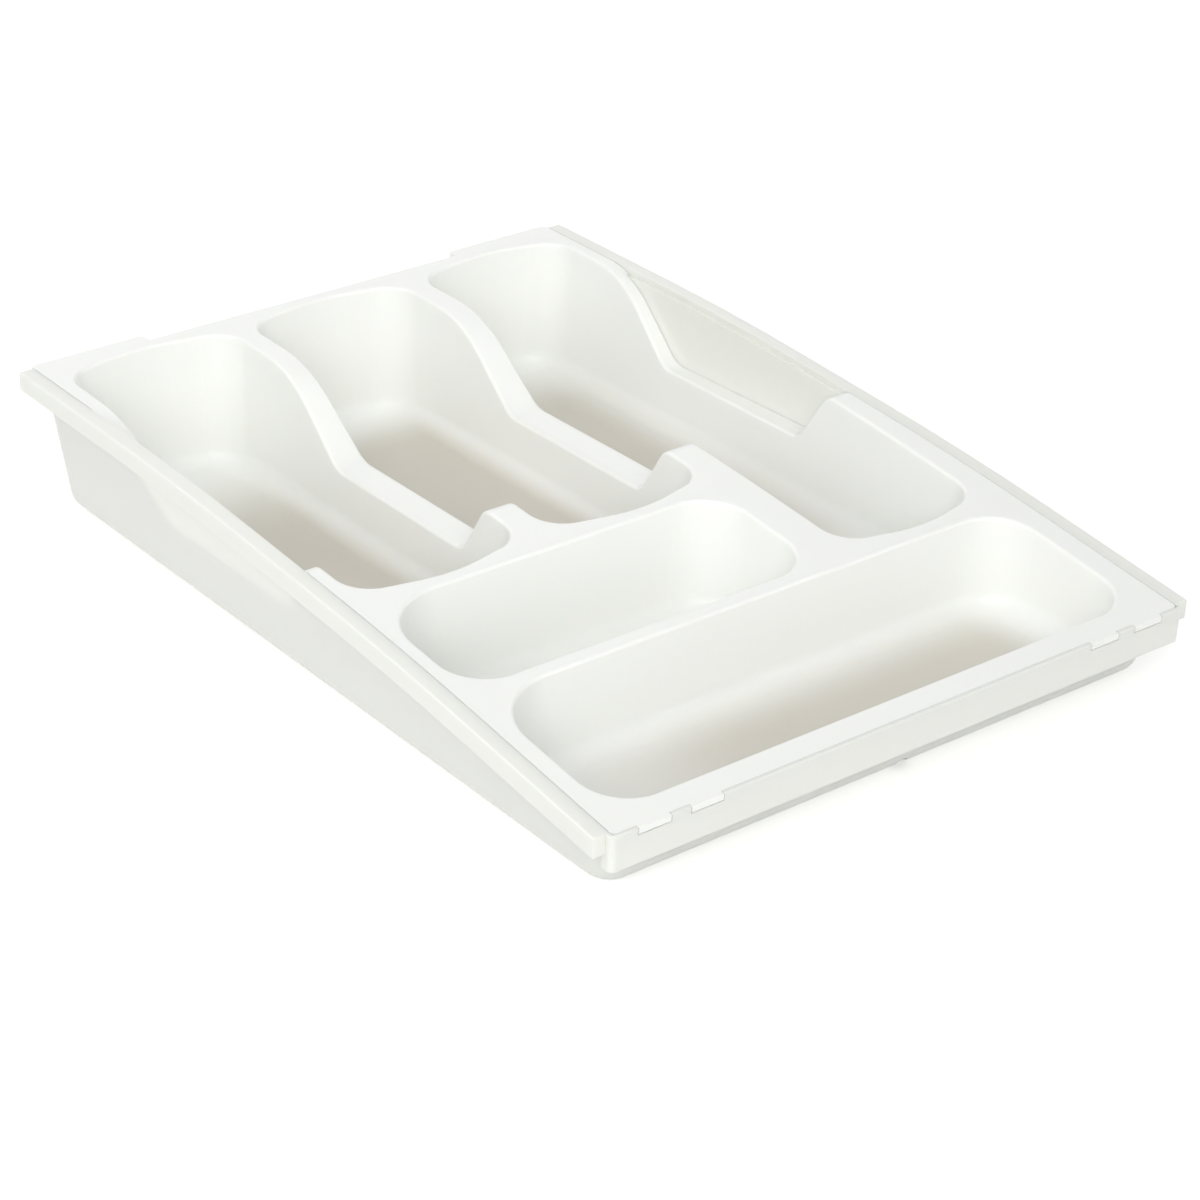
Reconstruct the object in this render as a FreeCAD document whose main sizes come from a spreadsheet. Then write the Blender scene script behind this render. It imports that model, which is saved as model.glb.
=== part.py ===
import FreeCAD, Part
import math
import os

import Sketcher
from FreeCAD import Placement, Rotation, Vector

# Cutlery tray: a tub with rails and a loose insert with five compartments.
# Everything is drawn with the ends of the rails at height zero, X across, Y to the back, and then
# tilted so that the flat base lies on the table. The rim is crowned: between its ends it rises in an arch.

SIZES = {
    # whole tray
    "tray_width": 276.0,
    "rail_length": 398.0,
    "base_tilt": 4.65,
    "rim_depth": 45.5,
    "crown_rise": 7.1,
    "crown_knee": 75.0,
    "crown_round": 1700.0,
    "plug_over": 1.9,
    "plug_under": 20.5,
    "overrun": 30.0,
    "fit_gap": 0.3,
    # rails along the sides
    "rail_width": 6.55,
    "rail_height": 8.0,
    "rail_top": 1.8,
    "rail_lip": 1.6,
    "rail_web": 1.4,
    "rail_foot": 3.2,
    "rail_cap": 2.0,
    "rail_round": 0.7,
    # land of the insert
    "land_skin": 2.4,
    "land_over_back": 3.0,
    "land_over_front": 1.5,
    "land_corner": 2.0,
    "horn_width": 53.15,
    "horn_length": 6.8,
    "lug_margin": 16.45,
    "lug_pitch": 22.2,
    "lug_width": 13.5,
    "rim_round": 1.4,
    # tub under the land, at the top of its plug
    "tub_flare": 1.2,
    "overhang_back": 3.0,
    "overhang_front": 4.0,
    "tub_corner": 11.0,
    "tub_draft": 6.5,
    "tub_wall": 1.4,
    "tub_round": 7.0,
    # strip across the front
    "strip_gap": 0.2,
    "strip_thick": 1.5,
    "strip_height": 14.5,
    "strip_corner": 2.5,
    "flange_thick": 1.4,
    "notch_radius": 3.6,
    "notch_length": 9.0,
    "notch_place": 6.0,
    # walls shared by the compartments
    "skin": 1.4,
    "outer_draft": 8.0,
    "divider_draft": 3.0,
    "floor_round": 9.0,
    # compartments along the tray, from the front to the back, at the top of their plugs
    "front_margin": 9.8,
    "wide_length": 76.1,
    "small_gap": 5.7,
    "small_length": 62.0,
    "long_gap": 6.2,
    "right_gap": 6.5,
    "back_margin": 10.5,
    # compartments across the tray, at the top of their plugs
    "left_margin_back": 5.95,
    "left_margin_front": 6.05,
    "left_inner_back": 45.9,
    "left_inner_front": 50.1,
    "left_divider_back": 8.9,
    "left_divider_front": 12.7,
    "right_divider_back": 10.3,
    "right_divider_front": 13.7,
    "right_inner_back": 50.7,
    "right_inner_front": 50.6,
    "right_margin_back": 4.55,
    "right_margin_front": 11.45,
    "small_margin": 5.55,
    "small_divider": 17.0,
    "wide_margin_left": 6.75,
    "wide_margin_right": 9.75,
    # shape of the compartments
    "long_corner": 15.0,
    "bow_tip": 2.0,
    "bow_side": 6.2,
    "bow_round": 70.0,
    "cross_corner": 19.0,
    "cross_far_corner": 27.0,
    # scoop through dividers and side lands, from the ends of the long compartments
    "scoop_back_place": 56.5,
    "scoop_back_run": 39.6,
    "scoop_front_place": 31.6,
    "scoop_front_run": 13.0,
    "scoop_floor": 16.8,
    "scoop_back_round": 52.0,
    "scoop_back_foot_round": 14.0,
    "scoop_front_round": 8.0,
    "scoop_front_foot_round": 8.0,
}


class Size:
    """A size known both as a number and as an expression on the sheet."""

    def __init__(self, value, text):
        self.value = value
        self.text = text

    def __add__(self, other):
        other = as_size(other)
        return Size(self.value + other.value, "(" + self.text + " + " + other.text + ")")

    def __sub__(self, other):
        other = as_size(other)
        return Size(self.value - other.value, "(" + self.text + " - " + other.text + ")")

    def __mul__(self, other):
        other = as_size(other)
        return Size(self.value * other.value, "(" + self.text + " * " + other.text + ")")

    def __truediv__(self, other):
        other = as_size(other)
        return Size(self.value / other.value, "(" + self.text + " / " + other.text + ")")

    def __neg__(self):
        return Size(-self.value, "(0 - " + self.text + ")")


def as_size(thing):
    return thing if isinstance(thing, Size) else Size(thing, str(thing))


def tangent(angle):
    return Size(math.tan(math.radians(angle.value)), "tan(" + angle.text + " * 1 deg)")


def cosine(angle):
    return Size(math.cos(math.radians(angle.value)), "cos(" + angle.text + " * 1 deg)")


doc = FreeCAD.newDocument("cutlery_tray")
sheet = doc.addObject("Spreadsheet::Sheet", "sizes")
for row, (alias, number) in enumerate(SIZES.items(), start=1):
    sheet.set("A" + str(row), alias)
    sheet.set("B" + str(row), str(number))
    sheet.setAlias("B" + str(row), alias)
doc.recompute()


def size(alias):
    return Size(SIZES[alias], "sizes." + alias)


ZERO = Size(0.0, "0")
TOUCH = 0.001
slope = tangent(size("base_tilt"))

# Places that follow from the sizes: how far each line lies from the middle of the tray.

rail_half = size("rail_length") / 2
rail_out = size("tray_width") / 2
half_land = rail_out - (size("rail_width") + size("fit_gap"))
rail_in = half_land + size("fit_gap")
land_back = rail_half + size("land_over_back")
land_front = rail_half + size("land_over_front")
strip_reach = land_front + size("strip_gap") + size("strip_thick")
tub_half = half_land + size("tub_flare")
tub_back = land_back - size("overhang_back")
tub_front = land_front - size("overhang_front")
wide_front = land_front - size("front_margin")
wide_back = wide_front - size("wide_length")
small_front = wide_back - size("small_gap")
small_back = small_front - size("small_length")
long_front = small_back - size("long_gap")
right_front = wide_back - size("right_gap")
long_back = land_back - size("back_margin")
plug_top = size("crown_rise") + size("plug_over")
plug_depth = size("rim_depth") + size("plug_under")
crown_slope = size("crown_rise") / (rail_half - size("crown_knee"))


def origin_plane(body, role):
    return [feature for feature in body.Origin.OriginFeatures if feature.Role == role][0]


def add_outline(body, role, corners, rounds, height=None):
    """Closed sketch through the corners, each bent by an arc where a round is given."""
    sketch = body.newObject("Sketcher::SketchObject", body.Name + "_outline")
    sketch.AttachmentSupport = [(origin_plane(body, role), "")]
    sketch.MapMode = "FlatFace"
    if height is not None:
        sketch.setExpression("AttachmentOffset.Base.z", height.text)
    points = [Vector(x.value, y.value, 0) for x, y in corners]
    count = len(points)
    ahead = [(points[(i + 1) % count] - points[i]).normalize() for i in range(count)]
    arrive = []
    leave = []
    turns = []
    for i in range(count):
        before = ahead[i - 1]
        turn = math.atan2(before.x * ahead[i].y - before.y * ahead[i].x, before.dot(ahead[i]))
        reach = rounds[i].value * math.tan(abs(turn) / 2) if rounds[i] is not None else 0.0
        turns.append(turn)
        arrive.append(points[i] - before * reach)
        leave.append(points[i] + ahead[i] * reach)
    for i in range(count):
        sketch.addGeometry(Part.LineSegment(leave[i], arrive[(i + 1) % count]), False)
    for i in range(count):
        last = (i - 1) % count
        if rounds[i] is None:
            sketch.addConstraint(Sketcher.Constraint("Coincident", last, 2, i, 1))
            place_point(sketch, i, corners[i])
            continue
        side = 1 if turns[i] > 0 else -1
        radius = rounds[i].value
        centre = arrive[i] + Vector(-ahead[i - 1].y, ahead[i - 1].x, 0) * radius * side
        first, second = (arrive[i], leave[i]) if side > 0 else (leave[i], arrive[i])
        begin = math.atan2(first.y - centre.y, first.x - centre.x)
        end = math.atan2(second.y - centre.y, second.x - centre.x)
        circle = Part.Circle(centre, Vector(0, 0, 1), radius)
        arc = sketch.addGeometry(Part.ArcOfCircle(circle, begin, end), False)
        mark = sketch.addGeometry(Part.Point(points[i]), True)
        place_point(sketch, mark, corners[i])
        sketch.addConstraint(Sketcher.Constraint("PointOnObject", mark, 1, last))
        sketch.addConstraint(Sketcher.Constraint("PointOnObject", mark, 1, i))
        sketch.addConstraint(Sketcher.Constraint("Tangent", last, 2, arc, 1 if side > 0 else 2))
        sketch.addConstraint(Sketcher.Constraint("Tangent", arc, 2 if side > 0 else 1, i, 1))
        held = sketch.addConstraint(Sketcher.Constraint("Radius", arc, radius))
        sketch.setExpression("Constraints[" + str(held) + "]", rounds[i].text)
    return sketch


def place_point(sketch, item, corner):
    """Hold the start of a sketch item at a corner measured from the sketch's origin."""
    for kind, measure in zip(("DistanceX", "DistanceY"), corner):
        held = sketch.addConstraint(Sketcher.Constraint(kind, -1, 1, item, 1, measure.value))
        sketch.setExpression("Constraints[" + str(held) + "]", measure.text)


def make_body(name):
    return doc.addObject("PartDesign::Body", name)


def make_prism(name, role, corners, rounds, length, start=None, downward=False):
    """A body padded from one outline, to both sides of its plane or away from a start."""
    body = make_body(name)
    sketch = add_outline(body, role, corners, rounds, start)
    pad = body.newObject("PartDesign::Pad", name + "_pad")
    pad.Profile = sketch
    pad.setExpression("Length", length.text)
    if start is None:
        pad.SideType = "Symmetric"
    pad.Reversed = downward
    doc.recompute()
    return body


def make_plug(name, corners, rounds, drafts, floor, floor_round):
    """A drafted plug cut off along the tilted floor, with its upright and floor edges rounded.

    rounds belong to the corners, drafts to the sides that follow them.
    """
    count = len(corners)
    sharp = [None] * count
    depth = plug_top + plug_depth
    body = make_prism(name, "XY_Plane", corners, sharp, depth, start=plug_top, downward=True)
    spots = [Vector(x.value, y.value, plug_top.value) for x, y in corners]

    def meets(item, *places):
        points = [vertex.Point for vertex in item.Vertexes]
        return all(any(point.isEqual(place, TOUCH) for point in points) for place in places)

    for alias in sorted(set(drafts)):
        base = body.Tip
        pairs = [(spots[i], spots[(i + 1) % count]) for i in range(count) if drafts[i] == alias]
        faces = [("Face" + str(number), face) for number, face in enumerate(base.Shape.Faces, start=1)]
        lids = [label for label, face in faces if meets(face, *spots)]
        walls = [(label, face) for label, face in faces if label not in lids]
        sides = [label for label, face in walls if any(meets(face, *pair) for pair in pairs)]
        draft = body.newObject("PartDesign::Draft", name + "_draft")
        draft.Base = (base, sides)
        draft.NeutralPlane = (base, lids)
        draft.Reversed = True
        draft.setExpression("Angle", size(alias).text)
        doc.recompute()

    reach = size("rail_length")
    low = plug_depth + size("overrun")
    fall = reach * slope
    profile = [(-reach, -low), (reach, -low), (reach, -floor - fall), (-reach, -floor + fall)]
    cut_off = add_outline(body, "YZ_Plane", profile, [None] * len(profile))
    pocket = body.newObject("PartDesign::Pocket", name + "_floor")
    pocket.Profile = cut_off
    pocket.setExpression("Length", (size("tray_width") + size("overrun")).text)
    pocket.SideType = "Symmetric"
    doc.recompute()

    for text in sorted(set(radius.text for radius in rounds)):
        here = [i for i in range(count) if rounds[i].text == text]
        uprights = []
        for number, edge in enumerate(body.Tip.Shape.Edges, start=1):
            upright = abs(edge.Vertexes[0].Z - edge.Vertexes[-1].Z) > TOUCH
            if upright and any(meets(edge, spots[i]) for i in here):
                uprights.append("Edge" + str(number))
        round_edges(body, uprights, rounds[here[0]])
    on_floor = edges_where(body.Tip.Shape, lambda p: abs(p.z + floor.value + p.y * slope.value) < TOUCH)
    round_edges(body, on_floor, floor_round)
    return body


def round_edges(body, names, radius):
    base = body.Tip
    fillet = body.newObject("PartDesign::Fillet", body.Name + "_rounding")
    fillet.Base = (base, names)
    fillet.setExpression("Radius", radius.text)
    doc.recompute()


def edges_where(shape, test):
    """Names of the edges whose ends and middle all pass the test."""
    names = []
    for index, edge in enumerate(shape.Edges, start=1):
        first, last = edge.ParameterRange
        spots = [edge.valueAt(first), edge.valueAt((first + last) / 2), edge.valueAt(last)]
        if all(test(spot) for spot in spots):
            names.append("Edge" + str(index))
    return names


def combine(kind, name, shapes):
    result = doc.addObject(kind, name)
    if kind == "Part::Cut":
        result.Base, result.Tool = shapes
    else:
        result.Shapes = shapes
    result.Refine = True
    doc.recompute()
    return result


def block(name, left, front, low, width, length, height):
    """A plain box held by its left, front and lower sides."""
    box = doc.addObject("Part::Box", name)
    box.setExpression("Length", width.text)
    box.setExpression("Width", length.text)
    box.setExpression("Height", height.text)
    box.setExpression("Placement.Base.x", left.text)
    box.setExpression("Placement.Base.y", front.text)
    box.setExpression("Placement.Base.z", low.text)
    return box


# Plugs of the compartments. Each is made twice: as the cavity, and grown by the skin as the cup around it.

cup_floor = size("rim_depth") - size("tub_wall") - size("skin")


def long_plug(name, left, right, front, drafts, grow):
    """Long compartment with bowed ends; left and right hold a wall's place at the front and at the back."""
    near = front - grow + size("bow_side")
    far = long_back + grow - size("bow_side")
    rise = size("bow_side") + size("bow_tip")
    lefts = [place - grow for place in left]
    rights = [place + grow for place in right]
    middle = (lefts[0] + lefts[1] + rights[0] + rights[1]) / 4
    rim = [
        (lefts[0], near), (middle, near - rise), (rights[0], near),
        (rights[1], far), (middle, far + rise), (lefts[1], far),
    ]
    corner = size("long_corner") + grow
    bow = size("bow_round") + grow
    rounds = [corner, bow, corner, corner, bow, corner]
    end = "outer_draft"
    sides = [end, end, drafts[1], end, end, drafts[0]]
    return make_plug(name, rim, rounds, sides, cup_floor + grow, size("floor_round") + grow)


def cross_plug(name, left, right, front, back, grow):
    """Rounded rectangular compartment lying across the tray."""
    rim = [
        (left - grow, front - grow), (right + grow, front - grow),
        (right + grow, back + grow), (left - grow, back + grow),
    ]
    corner = size("cross_corner") + grow
    rounds = [corner, corner, corner, size("cross_far_corner") + grow]
    return make_plug(name, rim, rounds, ["outer_draft"] * 4, cup_floor + grow, size("floor_round") + grow)


def compartments(suffix, grow):
    left_walls = (size("left_margin_front") - half_land, size("left_margin_back") - half_land)
    left_inner = (-size("left_inner_front"), -size("left_inner_back"))
    right_inner = (size("right_inner_front"), size("right_inner_back"))
    dividers = (size("left_divider_front"), size("left_divider_back"))
    middle_left = [wall + divider for wall, divider in zip(left_inner, dividers)]
    dividers = (size("right_divider_front"), size("right_divider_back"))
    middle_right = [wall - divider for wall, divider in zip(right_inner, dividers)]
    right_walls = (half_land - size("right_margin_front"), half_land - size("right_margin_back"))
    outer_left = ("outer_draft", "divider_draft")
    outer_right = ("divider_draft", "outer_draft")
    between = ("divider_draft", "divider_draft")
    return [
        long_plug("left_" + suffix, left_walls, left_inner, -long_front, outer_left, grow),
        long_plug("middle_" + suffix, middle_left, middle_right, -long_front, between, grow),
        long_plug("right_" + suffix, right_inner, right_walls, -right_front, outer_right, grow),
        cross_plug(
            "small_" + suffix, size("small_margin") - half_land, right_inner[0] - size("small_divider"),
            -small_front, -small_back, grow,
        ),
        cross_plug(
            "wide_" + suffix, size("wide_margin_left") - half_land, half_land - size("wide_margin_right"),
            -wide_front, -wide_back, grow,
        ),
    ]


cavities = combine("Part::MultiFuse", "cavities", compartments("cavity", ZERO))
cups = combine("Part::MultiFuse", "cups", compartments("cup", size("skin")))


def hull(name, inset, floor_lift):
    """The tub's drafted box, drawn in by the inset and with its floor lifted."""
    half = tub_half - inset
    back = tub_back - inset
    front = -tub_front + inset
    rim = [(-half, front), (half, front), (half, back), (-half, back)]
    rounds = [size("tub_corner") - inset] * 4
    floor = size("rim_depth") - floor_lift
    return make_plug(name, rim, rounds, ["tub_draft"] * 4, floor, size("tub_round") - inset)


def crown_line(drop):
    """The rim's arch from the back to the front, lowered by a drop, with the rounds of its corners."""
    back = land_back + size("overrun")
    front = -land_front - size("overrun")
    top = size("crown_rise") - drop
    corners = [
        (back, crown_slope * (rail_half - back) - drop), (size("crown_knee"), top),
        (-size("crown_knee"), top), (front, crown_slope * (rail_half + front) - drop),
    ]
    return corners, [None, size("crown_round"), size("crown_round"), None]


def under(line, rounds):
    """Close a line drawn from back to front by a flat bottom far below."""
    low = -plug_depth - size("overrun")
    return [(line[-1][0], low), (line[0][0], low)] + line, [None, None] + rounds


def crown_profile(name, drop):
    """Everything below the arch."""
    corners, rounds = under(*crown_line(drop))
    return make_prism(name, "YZ_Plane", corners, rounds, size("tray_width") + size("overrun"))


def land_profile(name, drop):
    """Everything below the arch and below the scoop that is cut into it."""
    arch, rounds = crown_line(drop)

    def foot(place):
        return (place, -size("scoop_floor") - place * slope - drop)

    scoop_back = long_back - size("scoop_back_place")
    scoop_front = size("scoop_front_place") - long_front
    scoop = [
        (scoop_back, crown_slope * (rail_half - scoop_back) - drop),
        foot(scoop_back - size("scoop_back_run")), foot(scoop_front + size("scoop_front_run")),
        (scoop_front, size("crown_rise") - drop),
    ]
    scoop_rounds = [
        size("scoop_back_round"), size("scoop_back_foot_round"),
        size("scoop_front_foot_round"), size("scoop_front_round"),
    ]
    corners, rounds = under([arch[0]] + scoop + arch[2:], [rounds[0]] + scoop_rounds + rounds[2:])
    return make_prism(name, "YZ_Plane", corners, rounds, size("tray_width") + size("overrun"))


# Insert: land and scoop as one skin, cups hung below it, cavities cut, lips rounded.

land_above = land_profile("land_above", ZERO)
land_below = land_profile("land_below", size("land_skin"))
sheet_skin = combine("Part::Cut", "sheet_skin", [land_above, land_below])

crown_above = crown_profile("crown_above", ZERO)
crown_below = crown_profile("crown_below", size("land_skin"))
crown_band = combine("Part::Cut", "crown_band", [crown_above, crown_below])

half_recess = half_land - size("horn_width")
recess_back = land_back - size("horn_length")
plan = [
    (-half_land, -land_front), (half_land, -land_front), (half_land, land_back),
    (half_recess, land_back), (half_recess, recess_back),
    (-half_recess, recess_back), (-half_recess, land_back), (-half_land, land_back),
]
plan_rounds = [size("land_corner") for _ in plan]
column = make_prism("column", "XY_Plane", plan, plan_rounds, size("overrun") * 2)
lug_length = strip_reach - land_front + size("land_corner")
lug_out = half_land - size("lug_margin")
lug_in = lug_out - size("lug_pitch")
lug_places = [-lug_in, -lug_out, lug_in, lug_out]
lugs = []
for place in lug_places:
    lugs.append(block(
        "lug", place - size("lug_width") / 2, -strip_reach, -size("overrun"),
        size("lug_width"), lug_length, size("overrun") * 2,
    ))
lugged_column = combine("Part::MultiFuse", "lugged_column", [column] + lugs)
plate = combine("Part::MultiCommon", "plate", [lugged_column, crown_band])
inner_hull = hull("inner_hull", size("tub_wall"), size("tub_wall"))
loose_hull = hull("loose_hull", size("tub_wall") + size("fit_gap"), size("tub_wall") + size("fit_gap"))
envelope = combine("Part::MultiFuse", "envelope", [plate, loose_hull])
skin_sheet = combine("Part::MultiCommon", "skin_sheet", [sheet_skin, envelope])
hung_cups = combine("Part::MultiCommon", "hung_cups", [cups, land_above])
full = combine("Part::MultiFuse", "full_insert", [skin_sheet, hung_cups])
hollow = combine("Part::Cut", "hollow_insert", [full, cavities])


def finish_body(name, base):
    """A body that takes over a combined shape, so that its edges can be rounded and it can be placed."""
    body = make_body(name)
    body.BaseFeature = base
    doc.recompute()
    return body


def round_lip(body, cavity, radius):
    """Round the edge where one cavity's wall comes up to the land and to the scoop."""
    space = cavity.Shape.BoundBox
    space.enlarge(TOUCH)

    def on_lip(spot):
        if not space.isInside(spot) or land_above.Shape.isInside(spot, TOUCH, False):
            return False
        return cavity.Shape.distToShape(Part.Vertex(spot))[0] < TOUCH

    round_edges(body, edges_where(body.Tip.Shape, on_lip), radius)


insert = finish_body("compartment_insert", hollow)
for cavity in cavities.Shapes:
    round_lip(insert, cavity, size("rim_round"))

# Tub: drafted walls up to just below the land, a rail along each side and a strip across the front.
# The insert stands with its cups on the tub's floor.

web_out = rail_in + size("rail_web")
seat_drop = size("land_skin") + size("fit_gap")
foot_drop = seat_drop + size("rail_foot")


def rail_band(name, inner, outer, high, low, hand):
    """A band along the arch, between two drops and two distances from the middle, on one hand."""
    above, rounds = crown_line(high)
    below, _ = crown_line(low)
    above[0] = (rail_half, -high)
    above[-1] = (-rail_half, -high)
    below[0] = (rail_half, -low)
    below[-1] = (-rail_half, -low)
    start = inner if hand > 0 else -outer
    return make_prism(name, "YZ_Plane", above + below[::-1], rounds + rounds, outer - inner, start=start)


def crown_height(place):
    """Height of the arch at a place along the tray."""
    bend = SIZES["crown_round"]
    turn = math.atan(crown_slope.value)
    begin = SIZES["crown_knee"] - bend * math.tan(turn / 2)
    along = abs(place)
    if along <= begin:
        return SIZES["crown_rise"]
    if along >= begin + bend * math.sin(turn):
        return (rail_half.value - along) * crown_slope.value
    return SIZES["crown_rise"] - bend + math.sqrt(bend * bend - (along - begin) * (along - begin))


def on_rail_edge(spot):
    return abs(abs(spot.x) - rail_out.value) < TOUCH and abs(spot.z - crown_height(spot.y)) < TOUCH


rails = []
feet = []
for hand, side_name in ((-1, "left"), (1, "right")):
    top = rail_band(side_name + "_top", rail_in, rail_out, ZERO, size("rail_top"), hand)
    round_edges(top, edges_where(top.Tip.Shape, on_rail_edge), size("rail_round"))
    lip_in = rail_out - size("rail_lip")
    inside_top = size("rail_top") / 2
    lip = rail_band(side_name + "_lip", lip_in, rail_out, inside_top, size("rail_height"), hand)
    web = rail_band(side_name + "_web", rail_in, web_out, inside_top, foot_drop, hand)
    rails.extend([top, lip, web])
    foot_in = rail_in - size("rail_foot")
    feet.append(rail_band(side_name + "_foot", foot_in, web_out, seat_drop, foot_drop, hand))
    cap_left = web_out if hand > 0 else -rail_out
    for end in (-1, 1):
        cap_front = rail_half - size("rail_cap") if end > 0 else -rail_half
        rails.append(block(
            side_name + "_cap", cap_left, cap_front, -size("rail_height"),
            rail_out - web_out, size("rail_cap"), size("rail_height") - inside_top,
        ))

strip_in = -strip_reach + size("strip_thick")
strip_end = -rail_half + size("rail_cap")
strip_plan = [
    (-web_out, strip_end), (-web_out, -strip_reach), (web_out, -strip_reach), (web_out, strip_end),
    (rail_in, strip_end), (rail_in, strip_in), (-rail_in, strip_in), (-rail_in, strip_end),
]
strip_rounds = [None] * len(strip_plan)
strip_rounds[1:3] = [size("strip_corner"), size("strip_corner")]
full_strip = make_prism(
    "full_strip", "XY_Plane", strip_plan, strip_rounds, size("strip_height"), start=ZERO, downward=True,
)
slots = []
for place in lug_places:
    slots.append(block(
        "lug_slot", place - size("lug_width") / 2 - size("fit_gap"), -strip_reach - size("overrun"),
        -seat_drop - size("fit_gap"), size("lug_width") + size("fit_gap") * 2,
        size("strip_thick") + size("overrun"), size("overrun"),
    ))
all_slots = combine("Part::MultiFuse", "all_slots", slots)
strip = combine("Part::Cut", "strip", [full_strip, all_slots])

flange_top = -seat_drop - size("fit_gap")
flange_half = tub_half - size("tub_corner")
flange = block(
    "flange", -flange_half, strip_in - size("strip_thick") / 2, flange_top - size("flange_thick"),
    flange_half * 2, strip_reach - tub_front + size("tub_corner"), size("flange_thick"),
)
outer_hull = hull("outer_hull", ZERO, ZERO)
ribbed_hull = combine("Part::MultiFuse", "ribbed_hull", [outer_hull, flange] + feet)
walls = combine("Part::Cut", "walls", [ribbed_hull, inner_hull])
seat = crown_profile("seat", seat_drop)
low_walls = combine("Part::MultiCommon", "low_walls", [walls, seat])

notch = doc.addObject("Part::Cylinder", "notch")
notch.setExpression("Radius", size("notch_radius").text)
notch.setExpression("Height", (size("notch_length") + size("overrun")).text)
notch.Placement = Placement(Vector(0, 0, 0), Rotation(Vector(1, 0, 0), -90))
notch.setExpression("Placement.Base.x", size("notch_place").text)
notch.setExpression("Placement.Base.y", (-tub_front - size("overrun")).text)
notch.setExpression("Placement.Base.z", (-size("rim_depth") + tub_front * slope).text)

full_tub = combine("Part::MultiFuse", "full_tub", [low_walls, strip] + rails)
notched_tub = combine("Part::Cut", "notched_tub", [full_tub, notch])
tub = finish_body("outer_tub", notched_tub)

# Both pieces are tilted together so that the base lies on the table, and written out.

lift = size("rim_depth") * cosine(size("base_tilt"))
for piece in (tub, insert):
    piece.Placement = Placement(Vector(0, 0, 0), Rotation(Vector(1, 0, 0), SIZES["base_tilt"]))
    piece.setExpression("Placement.Rotation.Angle", size("base_tilt").text)
    piece.setExpression("Placement.Base.z", lift.text)
doc.recompute()

faulty = [item.Name for item in doc.Objects if "Invalid" in item.State or "Error" in item.State]
if faulty:
    raise RuntimeError("not built: " + ", ".join(faulty))
os.makedirs("parts", exist_ok=True)
for piece in (tub, insert):
    if piece.Shape.isNull() or not piece.Shape.isValid() or len(piece.Shape.Solids) != 1:
        raise RuntimeError(piece.Label + " is not one valid solid")
    piece.Shape.exportStep("parts/" + piece.Label + ".step")
    box = piece.Shape.BoundBox
    spans = [round(span, 2) for span in (box.XLength, box.YLength, box.ZLength)]
    print(piece.Label, spans, round(piece.Shape.Volume))
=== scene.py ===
# %% [markdown]
# # A two-piece cutlery tray in Blender
#
# The tray is two plastic mouldings: a translucent outer tub with a rail along each long side, and an
# opaque white insert with five compartments that drops into it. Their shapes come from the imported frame
# and stay as they are. This lesson gives them their plastics, a camera at the photograph's angle, light
# and a floor.

# %% Load the frame
import math

import bmesh
import bpy
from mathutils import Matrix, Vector

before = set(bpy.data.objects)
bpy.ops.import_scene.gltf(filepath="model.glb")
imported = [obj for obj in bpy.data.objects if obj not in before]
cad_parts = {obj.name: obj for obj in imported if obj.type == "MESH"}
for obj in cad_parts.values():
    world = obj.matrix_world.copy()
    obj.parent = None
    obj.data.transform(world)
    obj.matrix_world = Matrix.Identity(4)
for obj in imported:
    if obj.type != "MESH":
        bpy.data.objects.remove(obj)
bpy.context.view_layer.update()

scene = bpy.context.scene
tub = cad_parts["outer_tub"]
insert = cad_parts["compartment_insert"]
for piece in (tub, insert):
    print(piece.name, len(piece.data.vertices), "vertices", len(piece.data.polygons), "faces")

# %% [markdown]
# ## The camera
#
# The photograph was taken from the front left and fairly far away, with a long lens. A camera could be
# aimed by eye, but its place was worked out from the four corners of the rails, so it is written as a
# point, a direction and a lens. The small roll is part of that result: it is how level the base stands in
# the picture.

# %% Place the camera
eye = Vector((-0.6550, -0.9082, 0.5722))
gaze = Vector((0.52553, 0.71572, -0.45995))
roll = math.radians(-0.877)
lens_data = bpy.data.cameras.new("photo_camera")
lens_data.sensor_width = 36.0
lens_data.lens = 94.45
camera = bpy.data.objects.new("photo_camera", lens_data)
camera.location = eye
camera.rotation_euler = gaze.to_track_quat("-Z", "Y").to_euler()
camera.rotation_euler.rotate_axis("Z", roll)
scene.collection.objects.link(camera)
scene.camera = camera
print("camera looks down", round(math.degrees(math.asin(-gaze.z)), 1), "degrees, lens", lens_data.lens, "mm")

# %% [markdown]
# ## Small tools for nodes
#
# A node tree built in code repeats a few moves: add a node, link it or give it a number, join several
# values by one operation. Each move is a function here, so that the cells below read as what they make.

# %% Add, feed and join nodes
def add(tree, kind, **settings):
    """A node with its plain settings."""
    node = tree.nodes.new(kind)
    for name, value in settings.items():
        setattr(node, name, value)
    return node


def feed(tree, socket, value):
    """Give a socket a number, a plain RGB triple or a link."""
    if isinstance(value, tuple):
        socket.default_value = (*value, 1.0)
    elif isinstance(value, (int, float)):
        socket.default_value = value
    else:
        tree.links.new(value, socket)


def math_node(tree, operation, first, second):
    """A Math node whose two sides are sockets or numbers."""
    node = add(tree, "ShaderNodeMath", operation=operation)
    feed(tree, node.inputs[0], first)
    feed(tree, node.inputs[1], second)
    return node.outputs[0]


def join(tree, operation, sockets):
    """All the sockets joined by one operation."""
    result = sockets[0]
    for socket in sockets[1:]:
        result = math_node(tree, operation, result, socket)
    return result


def soft_ramp(tree, value, low, high):
    """Zero up to low, one from high on, and a smooth step between."""
    ramp = add(tree, "ShaderNodeMapRange", interpolation_type="SMOOTHSTEP")
    for label, side in (("Value", value), ("From Min", low), ("From Max", high)):
        feed(tree, ramp.inputs[label], side)
    return ramp.outputs["Result"]


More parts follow.
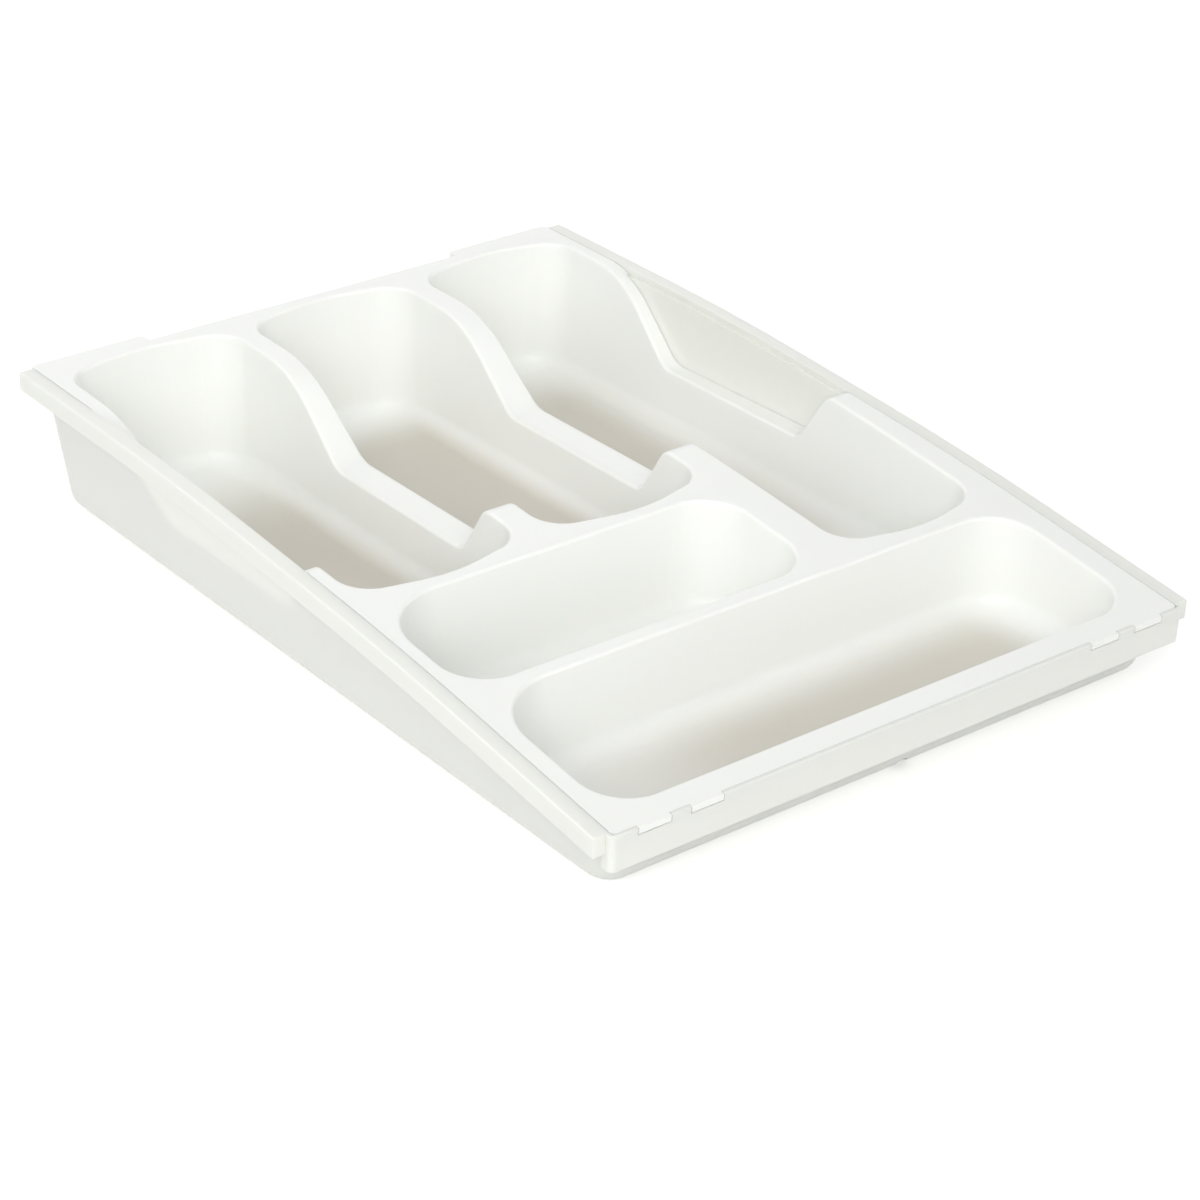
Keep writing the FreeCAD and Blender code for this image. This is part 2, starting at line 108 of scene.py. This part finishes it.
def mix_colours(tree, factor, first, second):
    """A colour mix; each colour is a socket or a plain RGB triple."""
    node = add(tree, "ShaderNodeMix", data_type="RGBA")
    feed(tree, node.inputs["Factor"], factor)
    colours = [socket for socket in node.inputs if socket.type == "RGBA"]
    feed(tree, colours[0], first)
    feed(tree, colours[1], second)
    return [socket for socket in node.outputs if socket.type == "RGBA"][0]


# %% Groups with named inputs and outputs
def start_group(name, inputs, outputs):
    """A shader node group with named float inputs (default values) and outputs."""
    group = bpy.data.node_groups.new(name, "ShaderNodeTree")
    for label, value in inputs:
        socket = group.interface.new_socket(name=label, in_out="INPUT", socket_type="NodeSocketFloat")
        socket.default_value = value
    for label in outputs:
        group.interface.new_socket(name=label, in_out="OUTPUT", socket_type="NodeSocketFloat")
    begin = group.nodes.new("NodeGroupInput")
    end = group.nodes.new("NodeGroupOutput")
    return group, begin, end


def use_group(tree, group, **values):
    """A group placed in a material with its own values."""
    node = add(tree, "ShaderNodeGroup", node_tree=group)
    for label, value in values.items():
        node.inputs[label].default_value = value
    return node


def axes_of(tree, kind):
    """X, Y and Z of the Object coordinates or of the Normal, by letter."""
    place = add(tree, "ShaderNodeTexCoord")
    split = add(tree, "ShaderNodeSeparateXYZ")
    tree.links.new(place.outputs[kind], split.inputs[0])
    return split.outputs


# %% [markdown]
# ## Shared effects
#
# Both mouldings come from polished or finely spark-eroded steel moulds, so both show the same three
# things: a cloudy unevenness where the melt flowed, a fine skin left by the mould, and faint hairlines
# from being wiped and stacked. Each could be painted into one material, but as node groups they are built
# once and used by both plastics with their own amounts. All of them read Object coordinates, so the
# pattern stays on its piece when that moves.

# %% Melt clouds: large, soft unevenness of the plastic
melt_clouds, begin, end = start_group("melt_clouds", [("Size", 12.0)], ["Cloud"])
place = add(melt_clouds, "ShaderNodeTexCoord")
noise = add(melt_clouds, "ShaderNodeTexNoise")
noise.inputs["Detail"].default_value = 3.0
noise.inputs["Roughness"].default_value = 0.45
melt_clouds.links.new(place.outputs["Object"], noise.inputs["Vector"])
melt_clouds.links.new(begin.outputs["Size"], noise.inputs["Scale"])
melt_clouds.links.new(noise.outputs["Fac"], end.inputs["Cloud"])
print("made", melt_clouds.name)

# %% Mould skin: the fine texture that the steel leaves
mould_skin, begin, end = start_group("mould_skin", [("Fineness", 900.0), ("Waviness", 0.3)], ["Height"])
place = add(mould_skin, "ShaderNodeTexCoord")
fine = add(mould_skin, "ShaderNodeTexNoise")
fine.inputs["Detail"].default_value = 2.0
wave = add(mould_skin, "ShaderNodeTexNoise")
wave.inputs["Scale"].default_value = 45.0
wave.inputs["Detail"].default_value = 1.0
mould_skin.links.new(place.outputs["Object"], fine.inputs["Vector"])
mould_skin.links.new(place.outputs["Object"], wave.inputs["Vector"])
mould_skin.links.new(begin.outputs["Fineness"], fine.inputs["Scale"])
swell = math_node(mould_skin, "MULTIPLY", wave.outputs["Fac"], begin.outputs["Waviness"])
height = math_node(mould_skin, "ADD", fine.outputs["Fac"], swell)
mould_skin.links.new(height, end.inputs["Height"])
print("made", mould_skin.name)

# %% Hairlines: faint lines from wiping and stacking
hairlines, begin, end = start_group("hairlines", [("Fineness", 240.0), ("Rarity", 0.66)], ["Line"])
place = add(hairlines, "ShaderNodeTexCoord")
stretch = add(hairlines, "ShaderNodeMapping")
stretch.inputs["Rotation"].default_value = (0.0, 0.0, math.radians(24))
stretch.inputs["Scale"].default_value = (1.0, 0.035, 0.5)
scratch = add(hairlines, "ShaderNodeTexNoise")
scratch.inputs["Detail"].default_value = 2.0
hairlines.links.new(place.outputs["Object"], stretch.inputs["Vector"])
hairlines.links.new(stretch.outputs["Vector"], scratch.inputs["Vector"])
hairlines.links.new(begin.outputs["Fineness"], scratch.inputs["Scale"])
above = math_node(hairlines, "SUBTRACT", scratch.outputs["Fac"], begin.outputs["Rarity"])
line = add(hairlines, "ShaderNodeMath", operation="MULTIPLY", use_clamp=True)
line.inputs[1].default_value = 12.0
hairlines.links.new(above, line.inputs[0])
hairlines.links.new(line.outputs[0], end.inputs["Line"])
print("made", hairlines.name)

# %% [markdown]
# ## Masks for the painted shade on the floors
#
# White polypropylene looks light where light comes through it from outside. The walls of the compartments
# stand free and get it, the floors lie on the tub and don't, so the real floors are darker and warmer.
# Bounces alone leave them nearly as white as the walls, so the floors get painted shade: a darker, warmer
# tone in their colour that stands in for the light they miss, held in place by three masks. The first is
# the depth below the rim, which is a slanted plane because the tray is a wedge. Depth alone would also
# tint the walls, so the second keeps the painted shade to surfaces that face up.

# %% Well depth: zero at the rim, one at the floor
rim_slope = math.tan(math.radians(4.65))
rim_height = 0.0455
well_depth, begin, end = start_group("well_depth", [("Start", 0.012), ("Full", 0.045)], ["Depth"])
axes = axes_of(well_depth, "Object")
rise = math_node(well_depth, "MULTIPLY", axes["Y"], rim_slope)
rim = math_node(well_depth, "ADD", rise, rim_height)
below = math_node(well_depth, "SUBTRACT", rim, axes["Z"])
depth = soft_ramp(well_depth, below, begin.outputs["Start"], begin.outputs["Full"])
well_depth.links.new(depth, end.inputs["Depth"])
print("made", well_depth.name, "with the rim at", rim_height, "m above the origin")

# %% Facing up: one on level floors, zero on walls
facing_up, begin, end = start_group("facing_up", [("Steep", 0.55), ("Level", 0.97)], ["Floor"])
axes = axes_of(facing_up, "Normal")
level = soft_ramp(facing_up, axes["Z"], begin.outputs["Steep"], begin.outputs["Level"])
facing_up.links.new(level, end.inputs["Floor"])
print("made", facing_up.name)

# %% [markdown]
# The painted shade doesn't end sharply at the edge of a floor. It fades before the walls, where light comes
# through them, and more at some ends than at others. The third mask is therefore a soft box over each
# compartment, in X and Y, with a fade of its own on each side.

# %% Soft box: one inside a well, fading towards its sides and ends
box_sides = ["Left", "Right", "Front", "Back"]
box_inputs = box_sides + [side + " Fade" for side in box_sides]
soft_box, begin, end = start_group("soft_box", [(label, 0.02) for label in box_inputs], ["Inside"])
axes = axes_of(soft_box, "Object")
masks = []
for side, axis, inward in zip(box_sides, "XXYY", (1, -1, 1, -1)):
    past = math_node(soft_box, "SUBTRACT", axes[axis], begin.outputs[side])
    past = math_node(soft_box, "MULTIPLY", past, inward)
    masks.append(soft_ramp(soft_box, past, 0.0, begin.outputs[side + " Fade"]))
soft_box.links.new(join(soft_box, "MULTIPLY", masks), end.inputs["Inside"])
print("made", soft_box.name, "with", len(masks), "sides")

# %% [markdown]
# ## The plastics
#
# Both plastics are polypropylene, one opaque and glossy, one translucent and satin. Glass-like
# transmission would make the tub look like clear acrylic, so its translucency is subsurface scattering:
# light that enters the thin rails comes out again a few millimetres further on. What the two have in
# common is one function: roughness from clouds and hairlines, and the mould's skin as a fine bump.

# %% What both plastics share
plastic_ior = 1.49
skin_height = 0.0004


def start_plastic(name):
    """A new material with its node tree and its shader."""
    material = bpy.data.materials.new(name)
    material.use_nodes = True
    tree = material.node_tree
    return material, tree, tree.nodes["Principled BSDF"]


def finish_surface(tree, shader, roughness, cloudy, rubbed, bumpiness):
    """A plain roughness plus shares of clouds and lines, and a bump.

    cloudy, rubbed and bumpiness are pairs of a group's output and its amount.
    """
    shares = [math_node(tree, "MULTIPLY", *pair) for pair in (cloudy, rubbed)]
    tree.links.new(join(tree, "ADD", shares + [roughness]), shader.inputs["Roughness"])
    height, strength = bumpiness
    bump = add(tree, "ShaderNodeBump")
    bump.inputs["Strength"].default_value = strength
    bump.inputs["Distance"].default_value = skin_height
    tree.links.new(height, bump.inputs["Height"])
    tree.links.new(bump.outputs["Normal"], shader.inputs["Normal"])


def scatter_light(shader, weight, radius):
    """Light that enters the plastic comes out within a radius in metres."""
    shader.inputs["IOR"].default_value = plastic_ior
    shader.inputs["Subsurface Weight"].default_value = weight
    shader.inputs["Subsurface Radius"].default_value = radius
    shader.inputs["Subsurface Scale"].default_value = 1.0


# %% Opaque white plastic of the insert
insert_plastic, tree, shader = start_plastic("insert_white")
cloud = use_group(tree, melt_clouds, Size=9.0).outputs["Cloud"]
lines = use_group(tree, hairlines, Fineness=260.0, Rarity=0.68).outputs["Line"]
skin = use_group(tree, mould_skin, Fineness=1400.0, Waviness=2.5).outputs["Height"]
body_tones = ((0.895, 0.906, 0.872), (0.920, 0.928, 0.898))
# the floor tones are painted shade: darker and warmer where the floors miss the light that comes through the
# walls
painted_floor_shades = ((0.610, 0.575, 0.505), (0.660, 0.625, 0.560))
body_tone = mix_colours(tree, cloud, *body_tones)
painted_floor_shade = mix_colours(tree, cloud, *painted_floor_shades)
finish_surface(tree, shader, 0.26, cloudy=(cloud, 0.08), rubbed=(lines, 0.02), bumpiness=(skin, 0.05))
scatter_light(shader, weight=0.12, radius=(0.0035, 0.0030, 0.0022))
print("made", insert_plastic.name)

# %% The insert's floors: painted shade
# edges (left, right, front, back) and fades, in metres
wells = {
    "left_long": ((-0.122, -0.046, -0.034, 0.182), (0.014, 0.014, 0.012, 0.075)),
    "middle_long": ((-0.040, 0.042, -0.034, 0.184), (0.014, 0.014, 0.012, 0.036)),
    "right_long": ((0.048, 0.128, -0.104, 0.186), (0.012, 0.034, 0.130, 0.050)),
    "small_cross": ((-0.125, 0.040, -0.114, -0.038), (0.020, 0.020, 0.065, 0.065)),
    "wide_cross": ((-0.130, 0.116, -0.192, -0.108), (0.110, 0.026, 0.014, 0.036)),
}
insides = []
for edges, fades in wells.values():
    well = use_group(tree, soft_box, **dict(zip(box_inputs, edges + fades)))
    insides.append(well.outputs["Inside"])
in_a_well = join(tree, "ADD", insides)
deep = use_group(tree, well_depth, Start=0.006, Full=0.036).outputs["Depth"]
level = use_group(tree, facing_up, Steep=0.20, Level=0.97).outputs["Floor"]
# painted shade mask: depth, facing up and the soft boxes pick where the floors are painted darker and warmer
warm = join(tree, "MULTIPLY", [deep, level, in_a_well])
tree.links.new(mix_colours(tree, warm, body_tone, painted_floor_shade), shader.inputs["Base Color"])
print("warm floors in", ", ".join(wells))

# %% Translucent satin plastic of the tub
tub_plastic, tree, shader = start_plastic("tub_translucent_white")
cloud = use_group(tree, melt_clouds, Size=6.0).outputs["Cloud"]
lines = use_group(tree, hairlines, Fineness=200.0, Rarity=0.66).outputs["Line"]
skin = use_group(tree, mould_skin, Fineness=1100.0, Waviness=1.2).outputs["Height"]
tub_tones = ((0.830, 0.840, 0.776), (0.862, 0.869, 0.810))
tree.links.new(mix_colours(tree, cloud, *tub_tones), shader.inputs["Base Color"])
finish_surface(tree, shader, 0.30, cloudy=(cloud, 0.10), rubbed=(lines, 0.03), bumpiness=(skin, 0.08))
scatter_light(shader, weight=0.45, radius=(0.0060, 0.0058, 0.0050))
print("made", tub_plastic.name)

# %% Give each moulding its plastic
for piece, plastic in ((insert, insert_plastic), (tub, tub_plastic)):
    piece.data.materials.clear()
    piece.data.materials.append(plastic)
    print(piece.name, "wears", plastic.name)

# %% [markdown]
# ## Floor and light
#
# The picture is a white studio shot. The background could be lit until it is white, but that would burn
# out the white tray, so the floor and the world are white only to the camera and to reflections, while
# they light the tray at a plain level. The floor is a matte sheet that adds a little light of its own for
# the camera, and so keeps the shadow.

# %% A plain floor with the tray's soft shadow
paper_glow = 0.42
sheet = bmesh.new()
bmesh.ops.create_grid(sheet, x_segments=1, y_segments=1, size=4.0)
floor_mesh = bpy.data.meshes.new("studio_floor")
sheet.to_mesh(floor_mesh)
sheet.free()
floor = bpy.data.objects.new("studio_floor", floor_mesh)
scene.collection.objects.link(floor)
paper = bpy.data.materials.new("studio_paper")
paper.use_nodes = True
tree = paper.node_tree
matte = tree.nodes["Principled BSDF"]
matte.inputs["Base Color"].default_value = (0.80, 0.80, 0.79, 1.0)
matte.inputs["Roughness"].default_value = 0.9
seen = add(tree, "ShaderNodeLightPath").outputs
looked_at = join(tree, "MAXIMUM", [seen["Is Camera Ray"], seen["Is Glossy Ray"], seen["Is Transmission Ray"]])
glow = add(tree, "ShaderNodeEmission")
tree.links.new(math_node(tree, "MULTIPLY", looked_at, paper_glow), glow.inputs["Strength"])
both = add(tree, "ShaderNodeAddShader")
tree.links.new(matte.outputs[0], both.inputs[0])
tree.links.new(glow.outputs[0], both.inputs[1])
tree.links.new(both.outputs[0], tree.nodes["Material Output"].inputs["Surface"])
floor_mesh.materials.append(paper)
print("floor", floor.dimensions[:])

# %% World: white to the eye, plain as a light
world_light = 0.63
world = bpy.data.worlds.new("studio")
scene.world = world
world.use_nodes = True
tree = world.node_tree
sky = tree.nodes["Background"]
sky.inputs["Color"].default_value = (1.0, 1.0, 1.0, 1.0)
seen = add(tree, "ShaderNodeLightPath").outputs
looked_at = join(tree, "MAXIMUM", [seen["Is Camera Ray"], seen["Is Glossy Ray"]])
strength = add(tree, "ShaderNodeMapRange")
strength.inputs["To Min"].default_value = world_light
strength.inputs["To Max"].default_value = 1.0
tree.links.new(looked_at, strength.inputs["Value"])
tree.links.new(strength.outputs["Result"], sky.inputs["Strength"])
print("world gives", world_light, "as light")

# %% [markdown]
# The photograph has hardly any shadows, so the world gives most of the light and the lamps only shape it.
# The key stands at the front left. A narrow beam from the front is aimed past the back end, because the
# back of the tray is lighter than its front. A low lamp reaches under the overhang of the front strip,
# and two weak ones lighten the back land and the left wall.

# %% Lamps
def softbox(name, place, aim, size, power, spread=180.0):
    """A rectangular area lamp at a place, turned to its aim; a smaller spread makes a beam."""
    lamp = bpy.data.lights.new(name, "AREA")
    lamp.shape = "RECTANGLE"
    lamp.size, lamp.size_y = size
    lamp.energy = power
    lamp.spread = math.radians(spread)
    box = bpy.data.objects.new(name, lamp)
    box.location = place
    box.rotation_euler = (Vector(aim) - Vector(place)).to_track_quat("-Z", "Y").to_euler()
    scene.collection.objects.link(box)
    print(name, power, "W from", place)


tray_middle = (0.0, 0.0, 0.03)
softbox("key_softbox", (-1.35, -1.35, 1.15), aim=(0.0, 0.05, 0.03), size=(1.4, 1.0), power=17.0)
softbox("front_beam", (-0.35, -1.50, 1.20), aim=(0.0, 0.30, 0.05), size=(0.5, 0.4), power=0.14, spread=24.0)
softbox("low_softbox", (-0.35, -1.70, 0.32), aim=(0.0, -0.20, 0.02), size=(1.4, 0.5), power=2.2)
softbox("back_softbox", (0.6, 1.6, 0.95), aim=tray_middle, size=(1.6, 0.8), power=2.5)
softbox("left_softbox", (-1.7, 0.0, 0.8), aim=tray_middle, size=(1.4, 0.8), power=3.5)

# %% [markdown]
# ## Finish
#
# The colours are shown plainly, through the standard view transform. The visual model
# has to keep the size of the frame.

# %% Finish with the standard view transform
scene.view_settings.view_transform = "Standard"
